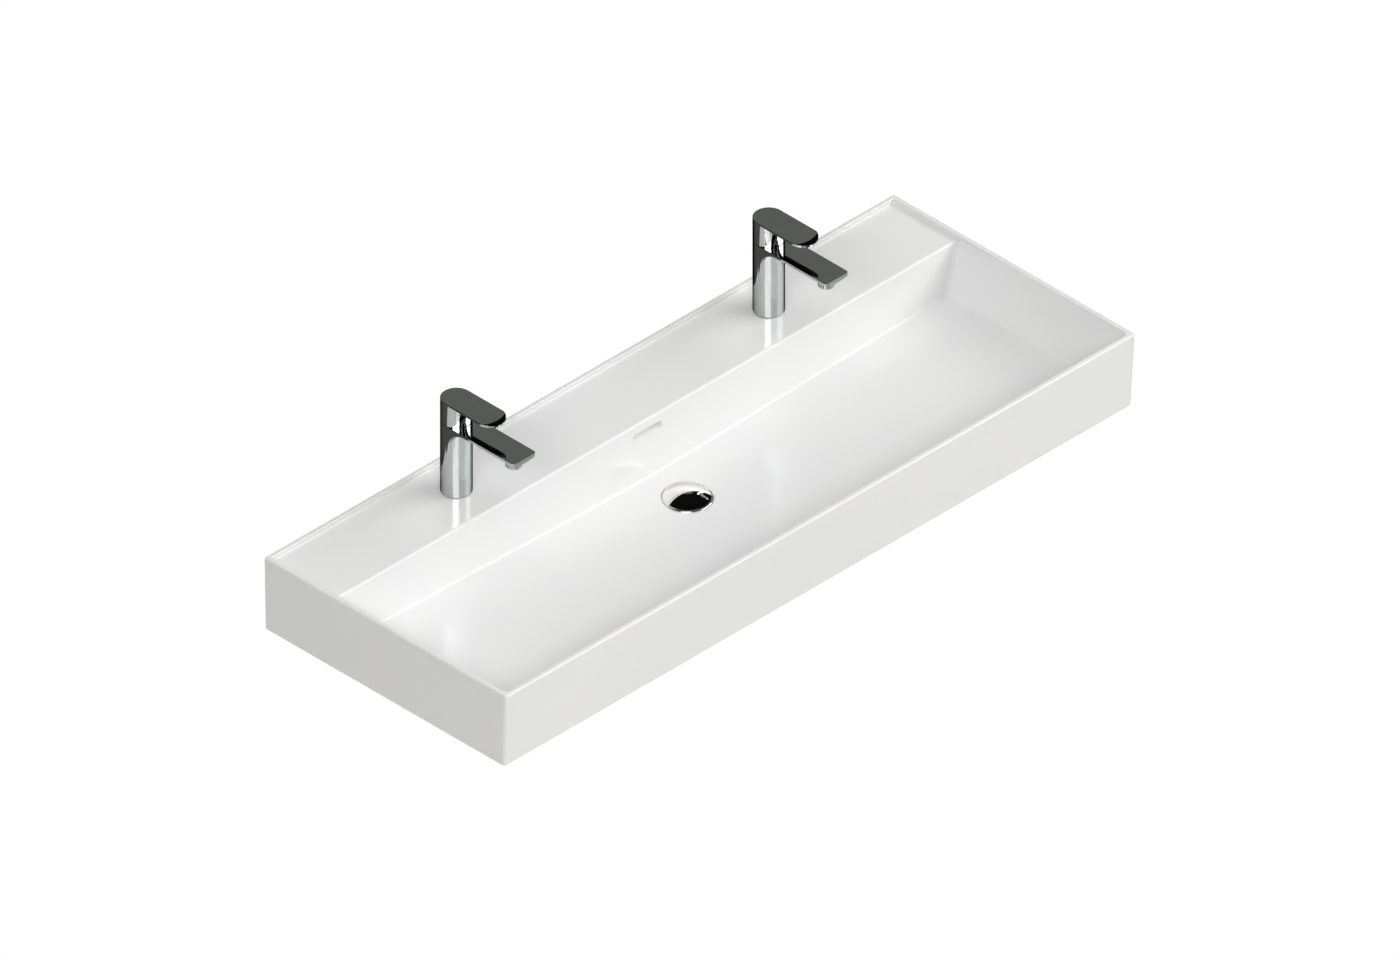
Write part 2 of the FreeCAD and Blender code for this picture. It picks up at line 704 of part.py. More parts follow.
def tap_body_cuts():
    """Cartridge chamber, nut bore, waterways, inlet ports, aerator bore and stud hole."""
    chamber = cylinder(cartridge_radius + cartridge_fit, chamber_floor, body_top + overrun)
    nut_bore = cylinder(nut_bore_radius, cartridge_shoulder, body_top + overrun)
    way_end = spout_keel(aerator_reach) + spout_wall
    floor = [(-reach, spout_keel(reach) + spout_wall) for reach in (waterway_start, fairing_reach, aerator_reach)]
    roof = [(y, z + waterway_height) for y, z in reversed(floor)]
    way = prism_x(floor + roof, -waterway_half_width, waterway_half_width)
    outlet = cylinder(waterway_half_width, aerator_boss_bottom, way_end + waterway_height, 0, -aerator_reach)
    thread_top = aerator_boss_bottom + aerator_thread_length
    aerator_bore = cylinder(aerator_thread_radius + aerator_fit, aerator_boss_bottom - overrun, thread_top,
                            0, -aerator_reach)
    stud_hole = cylinder(stud_radius + stud_fit, 0, stud_in_body + stud_hole_extra, 0, stud_back)
    cuts = [chamber, nut_bore, way, outlet, aerator_bore, stud_hole]
    for side in (-1, 1):
        x = side * inlet_port_offset
        cuts.append(cylinder(inlet_port_radius, 0, inlet_port_depth, x, -inlet_port_forward))
        cuts.append(cylinder(inlet_way_radius, inlet_port_depth, chamber_floor, x, -inlet_port_forward))
    return cuts


def make_base_seal():
    return ring(base_seal_radius, base_seal_hole_radius, 0, base_seal_thickness)


def make_cartridge():
    cartridge = cylinder(cartridge_radius, chamber_floor, cartridge_shoulder)
    cartridge = cartridge.fuse(cylinder(cartridge_neck_radius, cartridge_shoulder, cartridge_neck_top))
    spigot_low = turret_low() - turret_spigot_length
    hole = cylinder(turret_spigot_radius + turret_fit, spigot_low - turret_gap, cartridge_neck_top + overrun)
    for side in (-1, 1):
        port = cylinder(inlet_way_radius, chamber_floor - overrun, chamber_floor + inlet_port_depth,
                        side * inlet_port_offset, -inlet_port_forward)
        cartridge = cartridge.cut(port)
    outlet = box(-waterway_half_width, waterway_half_width, -cartridge_radius - overrun, -waterway_start,
                 spout_keel(waterway_start) + spout_wall, spout_keel(cartridge_radius) + spout_wall + waterway_height)
    return cartridge.cut(hole).cut(outlet).removeSplitter()


def make_cartridge_nut():
    top = cartridge_shoulder + nut_height
    nut = ring(nut_bore_radius - nut_fit, nut_hole_radius, cartridge_shoulder, top)
    notch = box(nut_hole_radius - overrun, nut_hole_radius + nut_notch_depth, -nut_notch_width / 2,
                nut_notch_width / 2, top - nut_notch_depth, top + overrun)
    for copy in around(notch, nut_notch_count):
        nut = nut.cut(copy)
    return nut


def turret_low():
    """Height of the lower face of the turret's disc."""
    return cartridge_shoulder + nut_height + turret_gap


def ear(x_low, x_high, radius, low):
    """Upright cheek with a round top about the level axis that the lever tilts on."""
    round_top = Part.makeCylinder(radius, x_high - x_low, V(x_low, pivot_back, pivot_height), V(1, 0, 0))
    return round_top.fuse(box(x_low, x_high, pivot_back - radius, pivot_back + radius, low, pivot_height))


def pivot_bore(radius):
    reach = tap_radius
    return Part.makeCylinder(radius, 2 * reach, V(-reach, pivot_back, pivot_height), V(1, 0, 0))


def make_turret():
    low = turret_low()
    disc_top = low + turret_disc_height
    turret = cylinder(turret_disc_radius, low, disc_top)
    turret = turret.fuse(cylinder(turret_spigot_radius, low - turret_spigot_length, low))
    outer = ear_inner + ear_thickness
    for x_low, x_high in ((-outer, -ear_inner), (ear_inner, outer)):
        turret = turret.fuse(ear(x_low, x_high, ear_radius, disc_top - turret_disc_height / 2))
    swing = finger_length * math.sin(math.radians(tilt_angle))
    half_slot = finger_radius + finger_clearance
    slot = box(-half_slot, half_slot, pivot_back - half_slot - swing, pivot_back + half_slot,
               pivot_height - finger_length - finger_clearance, disc_top + overrun)
    return turret.cut(slot).cut(pivot_bore(pin_radius)).removeSplitter()


def make_pivot_pin():
    half = ear_inner + ear_thickness
    return Part.makeCylinder(pin_radius, 2 * half, V(-half, pivot_back, pivot_height), V(1, 0, 0))


def make_stem():
    post = box(-post_half_width, post_half_width, pivot_back - post_half_depth, pivot_back + post_half_depth,
               post_bottom, post_top)
    finger = cylinder(finger_radius, pivot_height - finger_length, post_bottom, 0, pivot_back)
    return post.fuse(finger).cut(pivot_bore(pin_radius + pin_fit)).removeSplitter()


def lever_plan():
    """Upright prism over the lever's outline: round behind, straight sides, softly bowed front."""
    side = tap_radius
    front = -lever_reach
    corner_y = front + lever_front_radius - math.sqrt(lever_front_radius ** 2 - side ** 2)
    back = Part.Arc(V(side, 0, 0), V(0, side, 0), V(-side, 0, 0)).toShape()
    left = Part.makeLine(V(-side, 0, 0), V(-side, corner_y, 0))
    bow = Part.Arc(V(-side, corner_y, 0), V(0, front, 0), V(side, corner_y, 0)).toShape()
    right = Part.makeLine(V(side, corner_y, 0), V(side, 0, 0))
    prism = Part.Face(Part.Wire([back, left, bow, right])).extrude(V(0, 0, lever_top))
    prism = fillet_where(prism, lever_corner_radius,
                         lambda m, d: abs(d.z) > 0.9 and near(m.y, corner_y))
    prism = fillet_where(prism, lever_edge_radius, lambda m, d: near(m.z, lever_top))
    return prism.common(lever_nose())


def lever_nose():
    """Disc whose rim falls away, which gives the lever's top its fall to the front edge."""
    half_turn = math.atan(nose_drop / nose_length)
    bend_radius = nose_length / math.sin(2 * half_turn)
    start = V(nose_radius - nose_length, 0, lever_top)
    bend = V(start.x + bend_radius * math.sin(half_turn), 0, lever_top - bend_radius * (1 - math.cos(half_turn)))
    end = V(nose_radius, 0, lever_top - nose_drop)
    rim = Part.Arc(start, bend, end).toShape()
    rest = Part.makePolygon([end, V(nose_radius, 0, 0), V(0, 0, 0), V(0, 0, lever_top), start])
    disc = Part.Face(Part.Wire([rim] + rest.Edges)).revolve(V(0, 0, 0), V(0, 0, 1), 360)
    disc.translate(V(0, nose_radius - lever_reach, 0))
    behind = box(-nose_radius, nose_radius, -tap_radius, 2 * tap_radius, 0, lever_top)
    return disc.fuse(behind)


def lever_relief():
    """What is taken off behind the hub so that it can tilt back over the body."""
    low = body_top + joint_gap
    back = 2 * tap_radius
    rise = (back - relief_start) * math.tan(math.radians(tilt_angle + tilt_margin))
    points = [(relief_start, low - overrun), (relief_start, low), (back, low + rise), (back, low - overrun)]
    return prism_x(points, -back, back)


def finger_nub():
    """Small rounded rib under the lever's tip."""
    top = lever_top - lever_tip_edge_thickness
    nub = box(-nub_half_width, nub_half_width, -nub_reach, -nub_reach + nub_length, nub_bottom, top)
    return fillet_where(nub, nub_radius, lambda m, d: m.z < nub_bottom + nub_radius)


def make_lever():
    low = body_top + joint_gap
    paddle = boat(0, lever_reach, tap_radius, tap_radius, lever_edge_thickness, lever_tip_edge_thickness,
                  lever_root_depth, lever_tip_depth, lever_top)
    back_plate = box(-tap_radius, tap_radius, 0, tap_radius, lever_top - lever_edge_thickness, lever_top)
    hub = cylinder(tap_radius, low, lever_top)
    lever = hub.fuse(paddle).fuse(back_plate).common(lever_plan()).removeSplitter()
    lever = lever.fuse(finger_nub())
    roof = lever_top - hub_roof
    lever = lever.cut(cylinder(tap_radius - hub_wall, low - overrun, roof))
    socket = box(-socket_half_width, socket_half_width, pivot_back - socket_half_depth,
                 pivot_back + socket_half_depth, socket_bottom, roof)
    lever = lever.fuse(socket)
    pocket = box(-post_half_width - socket_fit, post_half_width + socket_fit,
                 pivot_back - post_half_depth - socket_fit, pivot_back + post_half_depth + socket_fit,
                 socket_bottom - overrun, post_top + socket_fit)
    return lever.cut(pocket).cut(lever_relief()).cut(screw_way()).removeSplitter()


def along_y(radius, near_y, far_y):
    return Part.makeCylinder(radius, far_y - near_y, V(0, near_y, screw_height), V(0, 1, 0))


def screw_way():
    """Hole for the grub screw, with a wider mouth for its cap."""
    post_back = pivot_back + post_half_depth
    mouth = screw_cap_low() - screw_fit
    return along_y(screw_radius + screw_fit, post_back, tap_radius + overrun).fuse(
        along_y(screw_cap_radius, mouth, tap_radius + overrun))


def screw_cap_low():
    return tap_radius - screw_cap_recess - screw_cap_length


def make_lever_screw():
    near_y = pivot_back + post_half_depth
    screw = along_y(screw_radius, near_y, near_y + screw_length)
    key = hexagon(screw_socket_radius, 0, screw_socket_depth + overrun)
    key.rotate(V(0, 0, 0), V(1, 0, 0), -90)
    key.translate(V(0, near_y + screw_length - screw_socket_depth, screw_height))
    return screw.cut(key)


def make_screw_cap():
    return along_y(screw_cap_radius - screw_fit, screw_cap_low(), tap_radius - screw_cap_recess)


def make_aerator_shell():
    low = aerator_bottom
    top = aerator_boss_bottom + aerator_thread_length
    shell = cylinder(aerator_radius, low, aerator_boss_bottom)
    shell = fillet_where(shell, aerator_edge_radius, lambda m, d: near(m.z, low))
    shell = shell.fuse(cylinder(aerator_thread_radius, aerator_boss_bottom, top))
    shell = shell.cut(cylinder(aerator_bore_radius, low - overrun, top + overrun))
    flat = box(aerator_flat_radius, aerator_radius + overrun, -aerator_radius, aerator_radius,
               low + aerator_flat_height, low + 2 * aerator_flat_height)
    for copy in around(flat, 2):
        shell = shell.cut(copy)
    shell = shell.removeSplitter()
    shell.translate(V(0, -aerator_reach, 0))
    return shell


def make_aerator_insert():
    """Perforated insert that breaks up the stream."""
    low = aerator_bottom + insert_recess
    insert = cylinder(aerator_bore_radius, low, low + insert_depth)
    insert = insert.cut(cylinder(aerator_bore_radius - insert_lip, low + insert_lip, low + insert_depth + overrun))
    hole = cylinder(insert_hole_radius, low - overrun, low + insert_depth)
    insert = insert.cut(hole)
    for ring_number in range(1, insert_rings + 1):
        outward = hole.copy()
        outward.translate(V(insert_pitch * ring_number, 0, 0))
        for copy in around(outward, 6 * ring_number):
            insert = insert.cut(copy)
    insert.translate(V(0, -aerator_reach, 0))
    return insert


def make_fixing_stud():
    return cylinder(stud_radius, stud_in_body - stud_length, stud_in_body, 0, stud_back)


def horseshoe(low, high):
    """Open ring below the ledge that leaves room for the two supply hoses."""
    plate = cylinder(clamp_radius, low, high)
    slot = box(-clamp_slot_half_width, clamp_slot_half_width, -clamp_radius - overrun, clamp_slot_back, low, high)
    return plate.cut(slot).cut(cylinder(stud_radius + stud_fit, low, high, 0, stud_back))


def make_clamp_pad():
    return horseshoe(-ledge_thickness - clamp_pad_thickness, -ledge_thickness)


def make_clamp_plate():
    top = -ledge_thickness - clamp_pad_thickness
    return horseshoe(top - clamp_plate_thickness, top)


def make_clamp_nut():
    top = -ledge_thickness - clamp_pad_thickness - clamp_plate_thickness
    nut = hexagon(clamp_nut_flat_radius, top - clamp_nut_height, top)
    nut = nut.cut(cylinder(stud_radius + stud_fit, top - clamp_nut_height, top))
    nut.translate(V(0, stud_back, 0))
    return nut


tap_pieces = {
    "tap_body": make_tap_body,
    "base_seal": make_base_seal,
    "cartridge": make_cartridge,
    "cartridge_nut": make_cartridge_nut,
    "turret": make_turret,
    "pivot_pin": make_pivot_pin,
    "stem": make_stem,
    "lever": make_lever,
    "lever_screw": make_lever_screw,
    "screw_cap": make_screw_cap,
    "aerator_shell": make_aerator_shell,
    "aerator_insert": make_aerator_insert,
    "fixing_stud": make_fixing_stud,
    "clamp_pad": make_clamp_pad,
    "clamp_plate": make_clamp_plate,
    "clamp_nut": make_clamp_nut,
}

waste_pieces = {
    "waste_body": make_waste_body,
    "waste_top_seal": make_waste_top_seal,
    "waste_bottom_seal": make_waste_bottom_seal,
    "waste_backnut": make_waste_backnut,
    "click_barrel": make_click_barrel,
    "plug_cap": make_plug_cap,
    "plug_stem": make_plug_stem,
    "plug_seal": make_plug_seal,
}


def build():
    os.makedirs("parts", exist_ok=True)
    save("basin", make_basin())
    for name, make in waste_pieces.items():
        piece = make()
        piece.translate(V(0, waste_y, 0))
        save(name, piece)
    for name, make in tap_pieces.items():
        piece = make()
        for side_name, side in (("left", -1), ("right", 1)):
            copy = piece.copy()
            copy.translate(V(side * tap_spacing / 2, tap_y, ledge_z))
            save(side_name + "_" + name, copy)


build()
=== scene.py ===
import bpy
import json
import math
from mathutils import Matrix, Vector


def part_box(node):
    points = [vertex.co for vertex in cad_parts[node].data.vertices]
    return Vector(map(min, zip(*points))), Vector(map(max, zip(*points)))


# Double washbasin with two single-lever mixer taps. Metres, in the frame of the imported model.

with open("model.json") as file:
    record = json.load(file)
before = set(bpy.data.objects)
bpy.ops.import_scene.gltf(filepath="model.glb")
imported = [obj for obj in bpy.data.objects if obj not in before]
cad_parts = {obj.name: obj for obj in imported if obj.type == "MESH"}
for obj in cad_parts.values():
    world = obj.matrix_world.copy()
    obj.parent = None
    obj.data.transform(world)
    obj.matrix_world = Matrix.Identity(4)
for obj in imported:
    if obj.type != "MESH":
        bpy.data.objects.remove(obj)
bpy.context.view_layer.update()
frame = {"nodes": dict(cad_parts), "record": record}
nodes = frame["nodes"]

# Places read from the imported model
basin_low, basin_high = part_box("basin")

# Places on the basin for its glaze
ledge_z = basin_high.z - 0.007
crest_reach = 0.1306     # from the wall to the edge between ledge and bowl
back_lean_share = 0.132  # how far the bowl's back wall leans forward for each metre down
slot_z = basin_high.z - 0.0255
slot_half_length = 0.028
slot_half_height = 0.00475
slot_depth = 0.020
slot_skin = (0.0004, 0.0012)         # behind the back wall's face, where the slot's glaze begins
slot_margin = (0.001, 0.002)         # beyond the slot's outline, where that glaze fades out
slot_back_fade = 0.002
wall_face_band = (-0.0006, -0.0001)  # Y of the bare face at the wall
foot_band = (0.0002, 0.0010)         # height of the bare foot's edge
gloss_change_band = (0.015, 0.004)   # below the ledge, where the bowl's gloss turns into the ledge's

# Glaze and biscuit: darker and lighter colour, roughness, and the heights of waves, peel and pits
glaze_colors = ((0.825, 0.83, 0.828, 1), (0.845, 0.842, 0.834, 1))
# Painted light: inside the overflow slot the glaze is painted whiter to lift the slot's shade
slot_painted_light_color = (0.985, 0.985, 0.98, 1)
biscuit_colors = ((0.70, 0.67, 0.61, 1), (0.80, 0.775, 0.72, 1))
bowl_roughness = 0.19
ledge_roughness = 0.11
roughness_variation = 0.006
biscuit_roughness = 0.75
glaze_specular = 0.4
glaze_wave_height = 0.0001
glaze_peel_height = 0.000004
biscuit_pit_depth = 0.0002

# Their noise textures: cells per metre and detail
glaze_cloud_noise = (6.0, 2.0)
glaze_gloss_noise = (12.0, 2.0)
glaze_wave_noise = (16.0, 1.0)
glaze_peel_noise = (420.0, 2.0)
biscuit_grain_noise = (900.0, 4.0)

# Polished chrome: the two tints say how much it still reflects where it turns away
tap_chrome_colors = ((0.55, 0.585, 0.575, 1), (0.59, 0.625, 0.61, 1))
cap_chrome_colors = ((0.93, 0.91, 0.90, 1), (0.96, 0.945, 0.935, 1))
tap_rim_tint = (0, 0, 0, 1)
cap_rim_tint = (0.7, 0.7, 0.7, 1)
bright_nodes = ("plug_cap",)         # plated brighter than the taps
polish_roughness = (0.03, 0.085)
polish_wave_height = 0.00004
polish_wave_noise = (45.0, 1.0)
smear_noise = (90.0, 5.0, (1, 1, 0.35))      # also the share of the cells along X, Y and Z
hairline_noise = (700.0, 3.0, (1, 1, 0.05))
film_band = (0.12, 0.4)              # smears times hairlines, from clean to wiped dull

# Turned brass and steel
brass_colors = ((0.50, 0.35, 0.14, 1), (0.74, 0.56, 0.27, 1))
steel_colors = ((0.36, 0.36, 0.37, 1), (0.58, 0.58, 0.59, 1))
brass_roughness = 0.24
steel_roughness = 0.28
turning_roughness_spread = 0.14
turning_mark_height = 0.00003
turning_mark_noise = (2200.0, 2.0, (0.05, 0.05, 1))  # its marks run round the upright axis
turning_blotch_noise = (60.0, 4.0)
turning_shade_band = (0.12, 0.42)    # marks times blotches, from the darker colour to the lighter

# Rubber and plastics: darker and lighter colour, roughness, grain in cells per metre, and its depth
rubber_look = (((0.018, 0.018, 0.019, 1), (0.04, 0.04, 0.042, 1)), 0.66, 1500.0, 0.00006)
pale_plastic_look = (((0.70, 0.70, 0.68, 1), (0.80, 0.80, 0.78, 1)), 0.34, 900.0, 0.00003)
dark_plastic_look = (((0.03, 0.032, 0.034, 1), (0.07, 0.072, 0.075, 1)), 0.42, 900.0, 0.00003)
moulded_grain_detail = 3.0
moulded_blotch_noise = (50.0, 3.0)
moulded_roughness_spread = (-0.06, 0.08)
worn_edge_band = (0.52, 0.60)        # pointiness of a moulded piece's worn edges
worn_edge_share = 0.4

# Camera, set by the photograph: an orthographic view along the diagonal of a cube
frame_width = 1.9014
camera_distance = 4.0
clip_distance = 12.0
camera_target = Vector((-0.0572, -0.29005, basin_high.z))
camera_direction = Vector((1, 1, -1)).normalized()

# Stage
floor_drop = 0.79
floor_size = 12.0
floor_color = (0.86, 0.855, 0.845, 1)
floor_roughness = 0.8

# Lamps: compass and height angle in degrees, angles that it spans across and upward, and power in watts.
# Compass angles are turned from the X axis towards Y. The lamps are far off, so both taps mirror them alike.
lamp_target = Vector((0, -0.23, 0))
lamp_distance = 9.0
key_lamp = (-42.0, 29.0, 54.0, 20.0, 543.9)
side_lamp = (-141.0, 35.0, 34.0, 14.0, 396.7)
top_lamp = (-90.0, 86.0, 40.0, 24.0, 164.1)
back_lamp = (90.0, 50.0, 100.0, 60.0, 347.7)
sky_strength = 0.05

# Dark surroundings that only reflections see, as the polished taps of the photograph show them
curtain_radius = 12.0
curtain_segments = 48
curtain_rings = 24
curtain_color = (0.004, 0.004, 0.004, 1)
panel_color = (0.175, 0.180, 0.160, 1)
panel_direction = Vector((1, 1, 1)).normalized()
panel_edge = (0.986, 0.993)          # cosine of the angle to that direction
carpet_color = (0.105, 0.098, 0.090, 1)
carpet_split = (-0.1, 0.3)           # X over which the carpet turns black
carpet_lift = 0.005


# Node helpers

class Recipe:
    """A material under construction: adds nodes and links them."""

    def __init__(self, name):
        self.material = bpy.data.materials.new(name)
        self.material.use_nodes = True
        self.tree = self.material.node_tree
        self.shader = self.tree.nodes["Principled BSDF"]
        self.place = self.add("ShaderNodeTexCoord").outputs["Object"]

    def add(self, kind, **settings):
        node = self.tree.nodes.new(kind)
        for name, value in settings.items():
            setattr(node, name, value)
        return node

    def put(self, value, socket):
        """Link an output to a socket, or set the socket to a plain value."""
        if hasattr(value, "is_output"):
            self.tree.links.new(value, socket)
        else:
            socket.default_value = value

    def feed(self, node, **values):
        """Set or link a node's inputs by name."""
        for name, value in values.items():
            self.put(value, node.inputs[name.replace("_", " ")])
        return node

    def math(self, operation, first, second=0.0):
        node = self.add("ShaderNodeMath", operation=operation)
        for socket, value in zip(node.inputs, (first, second)):
            self.put(value, socket)
        return node.outputs[0]

    def noise(self, cells, detail, shares=(1, 1, 1)):
        """Soft noise from 0 to 1, in cells per metre; a share below 1 stretches it along its axis."""
        mapping = self.feed(self.add("ShaderNodeMapping"), Vector=self.place, Scale=shares)
        texture = self.add("ShaderNodeTexNoise")
        self.feed(texture, Vector=mapping.outputs[0], Scale=cells, Detail=detail)
        return texture.outputs["Fac"]

    def range(self, value, low, high, from_low=0.3, from_high=0.7):
        """From low to high while the value goes from from_low to from_high."""
        node = self.add("ShaderNodeMapRange")
        self.feed(node, Value=value, From_Min=from_low, From_Max=from_high, To_Min=low, To_Max=high)
        return node.outputs[0]

    def mix(self, share, first, second):
        """Colour between two colours."""
        node = self.add("ShaderNodeMix", data_type="RGBA")
        for index, value in ((0, share), (6, first), (7, second)):
            self.put(value, node.inputs[index])
        return node.outputs[2]

    def bump(self, height, distance, strength=1.0, below=None):
        node = self.add("ShaderNodeBump")
        self.feed(node, Height=height, Distance=distance, Strength=strength)
        if below is not None:
            self.feed(node, Normal=below)
        return node.outputs[0]

    def axes(self):
        split = self.add("ShaderNodeSeparateXYZ")
        self.feed(split, Vector=self.place)
        return split.outputs

    def edges(self, low, high):
        """From 0 on flat ground to 1 on sharp outer edges."""
        pointiness = self.add("ShaderNodeNewGeometry").outputs["Pointiness"]
        return self.range(pointiness, 0.0, 1.0, low, high)


# Materials

def ceramic():
    """White glaze; bare biscuit on the wall face and on the foot."""
    r = Recipe("glazed_ceramic")
    x, y, z = r.axes()
    at_wall = r.range(y, 0.0, 1.0, *wall_face_band)
    at_foot = r.range(z, 1.0, 0.0, basin_low.z + foot_band[0], basin_low.z + foot_band[1])
    bare = r.math("MAXIMUM", at_wall, at_foot)
    clouds = r.noise(*glaze_cloud_noise)
    grain = r.noise(*biscuit_grain_noise)
    glaze = r.mix(r.range(clouds, 0.0, 1.0), *glaze_colors)
    # Painted light: whiter glaze inside the overflow slot, lifting the shade there
    glaze = r.mix(in_the_slot(r, x, y, z), glaze, slot_painted_light_color)
    biscuit = r.mix(r.range(grain, 0.0, 1.0), *biscuit_colors)
    gloss = r.noise(*glaze_gloss_noise)
    variation = r.range(gloss, -roughness_variation, roughness_variation, 0.0, 1.0)
    by_height = r.range(z, bowl_roughness, ledge_roughness,
                        ledge_z - gloss_change_band[0], ledge_z - gloss_change_band[1])
    glaze_roughness = r.math("ADD", variation, by_height)
    roughness = r.range(bare, glaze_roughness, biscuit_roughness, 0.0, 1.0)
    waves = r.bump(r.noise(*glaze_wave_noise), glaze_wave_height)
    peel = r.bump(r.noise(*glaze_peel_noise), glaze_peel_height, 1.0, waves)
    pits = r.bump(r.math("MULTIPLY", grain, bare), biscuit_pit_depth, 1.0, peel)
    r.feed(r.shader, Base_Color=r.mix(bare, glaze, biscuit), Roughness=roughness,
           Specular_IOR_Level=glaze_specular, Normal=pits)
    return r.material


def in_the_slot(r, x, y, z):
    """1 inside the overflow slot, 0 elsewhere. The glaze there is painted whiter: painted light that lifts
    the shade in the slot, only to make it read pale.
    """
    lean = r.math("MULTIPLY", r.math("SUBTRACT", ledge_z, z), back_lean_share)
    behind_wall = r.math("ADD", r.math("ADD", y, crest_reach), lean)
    inside = r.range(behind_wall, 0.0, 1.0, *slot_skin)
    across = r.range(r.math("ABSOLUTE", x), 1.0, 0.0,
                     slot_half_length + slot_margin[0], slot_half_length + slot_margin[1])
    level = r.range(r.math("ABSOLUTE", r.math("SUBTRACT", z, slot_z)), 1.0, 0.0,
                    slot_half_height + slot_margin[0], slot_half_height + slot_margin[1])
    slot_back = slot_depth - crest_reach
    before_back = r.range(y, 1.0, 0.0, slot_back, slot_back + slot_back_fade)
    return r.math("MULTIPLY", r.math("MULTIPLY", inside, across), r.math("MULTIPLY", level, before_back))


def polished(name, colors, rim_tint):
    """Polished metal with faint wiping marks; the tint darkens it where it turns away."""
    r = Recipe(name)
    smear = r.noise(*smear_noise)
    hairline = r.noise(*hairline_noise)
    film = r.math("MULTIPLY", smear, hairline)
    r.feed(r.shader, Base_Color=r.mix(r.range(smear, 0.0, 1.0), *colors), Metallic=1.0,
           Roughness=r.range(film, *polish_roughness, *film_band), Specular_Tint=rim_tint,
           Normal=r.bump(r.noise(*polish_wave_noise), polish_wave_height))
    return r.material


def turned_metal(name, colors, roughness):
    """Machined metal with fine turning marks."""
    r = Recipe(name)
    marks = r.noise(*turning_mark_noise)
    blotch = r.noise(*turning_blotch_noise)
    shade = r.math("MULTIPLY", marks, blotch)
    tone = r.mix(r.range(shade, 0.0, 1.0, *turning_shade_band), *colors)
    r.feed(r.shader, Base_Color=tone, Metallic=1.0,
           Roughness=r.range(blotch, roughness, roughness + turning_roughness_spread),
           Normal=r.bump(marks, turning_mark_height))
    return r.material


def moulded(name, colors, roughness, grain_scale, grain_depth):
    """Moulded plastic or rubber with a fine grain, lighter at worn edges."""
    r = Recipe(name)
    grain = r.noise(grain_scale, moulded_grain_detail)
    blotch = r.noise(*moulded_blotch_noise)
    worn = r.edges(*worn_edge_band)
    tone = r.mix(r.range(blotch, 0.0, 1.0), *colors)
    smoothest, roughest = (roughness + change for change in moulded_roughness_spread)
    r.feed(r.shader, Base_Color=r.mix(r.math("MULTIPLY", worn, worn_edge_share), tone, colors[1]),
           Roughness=r.range(grain, smoothest, roughest), Normal=r.bump(grain, grain_depth))
    return r.material


def make_materials():
    """One material for each slot of the record."""
    return {
        "ceramic": ceramic(),
        "chrome": polished("polished_chrome", tap_chrome_colors, tap_rim_tint),
        "brass": turned_metal("turned_brass", brass_colors, brass_roughness),
        "steel": turned_metal("turned_steel", steel_colors, steel_roughness),
        "rubber": moulded("rubber", *rubber_look),
        "pale_plastic": moulded("pale_plastic", *pale_plastic_look),
        "dark_plastic": moulded("dark_plastic", *dark_plastic_look),
    }


def dress(materials):
    """Put each node's material on its slots."""
    bright = polished("bright_chrome", cap_chrome_colors, cap_rim_tint)
    for subpart in frame["record"]["subparts"]:
        thing = nodes[subpart["node"]]
        finish = materials[subpart["material_slot"]]
        if subpart["node"] in bright_nodes:
            finish = bright
        for slot in thing.material_slots:
            slot.material = finish


# Stage, lamps and camera

def white_to_camera(tree, shader, output_socket):
    """Show plain white to the camera and in reflections, and the shader itself to all other light."""
    path = tree.nodes.new("ShaderNodeLightPath")
    seen = tree.nodes.new("ShaderNodeMath")
    seen.operation = "MAXIMUM"
    tree.links.new(path.outputs["Is Camera Ray"], seen.inputs[0])
    either = tree.nodes.new("ShaderNodeMath")
    either.operation = "MAXIMUM"
    tree.links.new(path.outputs["Is Glossy Ray"], either.inputs[0])
    tree.links.new(path.outputs["Is Transmission Ray"], either.inputs[1])
    tree.links.new(either.outputs[0], seen.inputs[1])
    world = shader.bl_idname == "ShaderNodeBackground"
    white = tree.nodes.new("ShaderNodeBackground" if world else "ShaderNodeEmission")
    white.inputs["Color"].default_value = (1, 1, 1, 1)
    white.inputs["Strength"].default_value = 1.0
    mix = tree.nodes.new("ShaderNodeMixShader")
    tree.links.new(seen.outputs[0], mix.inputs[0])
    tree.links.new(shader.outputs[0], mix.inputs[1])
    tree.links.new(white.outputs[0], mix.inputs[2])
    tree.links.new(mix.outputs[0], output_socket)


def make_floor():
    bpy.ops.mesh.primitive_plane_add(size=floor_size, location=(0, 0, basin_high.z - floor_drop))
    floor = bpy.context.object
    floor.name = "studio_floor"
    material = bpy.data.materials.new("pale_floor")
    material.use_nodes = True
    tree = material.node_tree
    shader = tree.nodes["Principled BSDF"]
    shader.inputs["Base Color"].default_value = floor_color
    shader.inputs["Roughness"].default_value = floor_roughness
    white_to_camera(tree, shader, tree.nodes["Material Output"].inputs["Surface"])
    floor.data.materials.append(material)


def make_world():
    world = bpy.data.worlds.new("studio")
    bpy.context.scene.world = world
    world.use_nodes = True
    tree = world.node_tree
    shader = tree.nodes["Background"]
    shader.inputs["Color"].default_value = (1, 1, 1, 1)
    shader.inputs["Strength"].default_value = sky_strength
    white_to_camera(tree, shader, tree.nodes["World Output"].inputs["Surface"])


def for_reflections_only(thing):
    """Make this a dark piece of the studio that shows in reflections and nowhere else."""
    thing.visible_camera = False
    thing.visible_diffuse = False
    thing.visible_shadow = False
    thing.visible_transmission = False
    thing.visible_volume_scatter = False


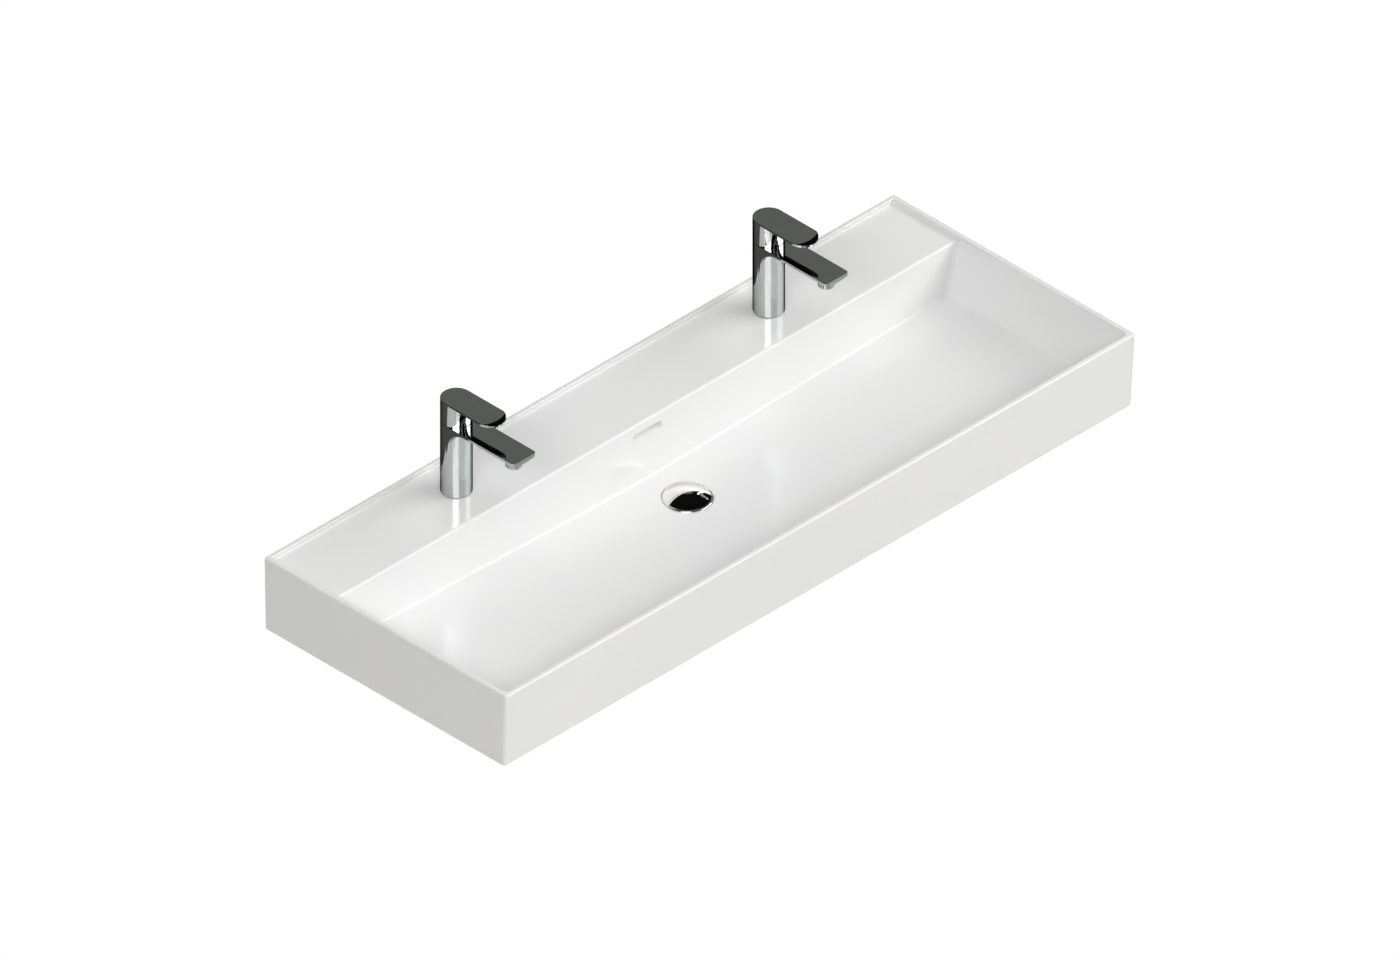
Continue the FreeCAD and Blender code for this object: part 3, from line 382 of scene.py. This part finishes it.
def make_curtain():
    """Black curtain all round, with one grey panel behind the basin."""
    bpy.ops.mesh.primitive_uv_sphere_add(segments=curtain_segments, ring_count=curtain_rings,
                                         radius=curtain_radius)
    curtain = bpy.context.object
    curtain.name = "dark_curtain"
    r = Recipe("dark_curtain")
    toward_panel = r.add("ShaderNodeVectorMath", operation="DOT_PRODUCT")
    r.tree.links.new(r.place, toward_panel.inputs[0])
    toward_panel.inputs[1].default_value = panel_direction / curtain_radius
    panel = r.range(toward_panel.outputs["Value"], 0.0, 1.0, *panel_edge)
    glow = r.feed(r.add("ShaderNodeEmission"), Color=r.mix(panel, curtain_color, panel_color), Strength=1.0)
    r.tree.links.new(glow.outputs[0], r.tree.nodes["Material Output"].inputs["Surface"])
    curtain.data.materials.append(r.material)
    for_reflections_only(curtain)


def make_carpet():
    """Dark carpet over the floor."""
    height = basin_high.z - floor_drop + carpet_lift
    bpy.ops.mesh.primitive_plane_add(size=floor_size, location=(0, 0, height))
    carpet = bpy.context.object
    carpet.name = "dark_carpet"
    r = Recipe("dark_carpet")
    to_right = r.range(r.axes()[0], 0.0, 1.0, *carpet_split)
    color = r.mix(to_right, carpet_color, curtain_color)
    glow = r.feed(r.add("ShaderNodeEmission"), Color=color, Strength=1.0)
    r.tree.links.new(glow.outputs[0], r.tree.nodes["Material Output"].inputs["Surface"])
    carpet.data.materials.append(r.material)
    for_reflections_only(carpet)


def lamp(name, compass, height, across, upward, power, mirrored=True):
    """A softbox that faces the basin; one that isn't mirrored gives diffuse light and no reflection."""
    turn = math.radians(compass)
    rise = math.radians(height)
    away = Vector((math.cos(turn) * math.cos(rise), math.sin(turn) * math.cos(rise), math.sin(rise)))
    data = bpy.data.lights.new(name, "AREA")
    data.shape = "RECTANGLE"
    data.size = 2 * lamp_distance * math.tan(math.radians(across) / 2)
    data.size_y = 2 * lamp_distance * math.tan(math.radians(upward) / 2)
    data.energy = power
    thing = bpy.data.objects.new(name, data)
    thing.location = lamp_target + away * lamp_distance
    thing.rotation_mode = "QUATERNION"
    thing.rotation_quaternion = (-away).to_track_quat("-Z", "Y")
    thing.visible_glossy = mirrored
    bpy.context.collection.objects.link(thing)


def make_camera():
    data = bpy.data.cameras.new("camera")
    data.type = "ORTHO"
    data.ortho_scale = frame_width
    data.clip_end = clip_distance
    camera = bpy.data.objects.new("camera", data)
    camera.location = camera_target - camera_distance * camera_direction
    camera.rotation_mode = "QUATERNION"
    camera.rotation_quaternion = camera_direction.to_track_quat("-Z", "Y")
    bpy.context.collection.objects.link(camera)
    bpy.context.scene.camera = camera


make_camera()
make_floor()
make_world()
make_curtain()
make_carpet()
lamp("key", *key_lamp)
lamp("side", *side_lamp)
lamp("top", *top_lamp, mirrored=False)
lamp("back", *back_lamp, mirrored=False)
dress(make_materials())
bpy.context.scene.view_settings.view_transform = "Standard"
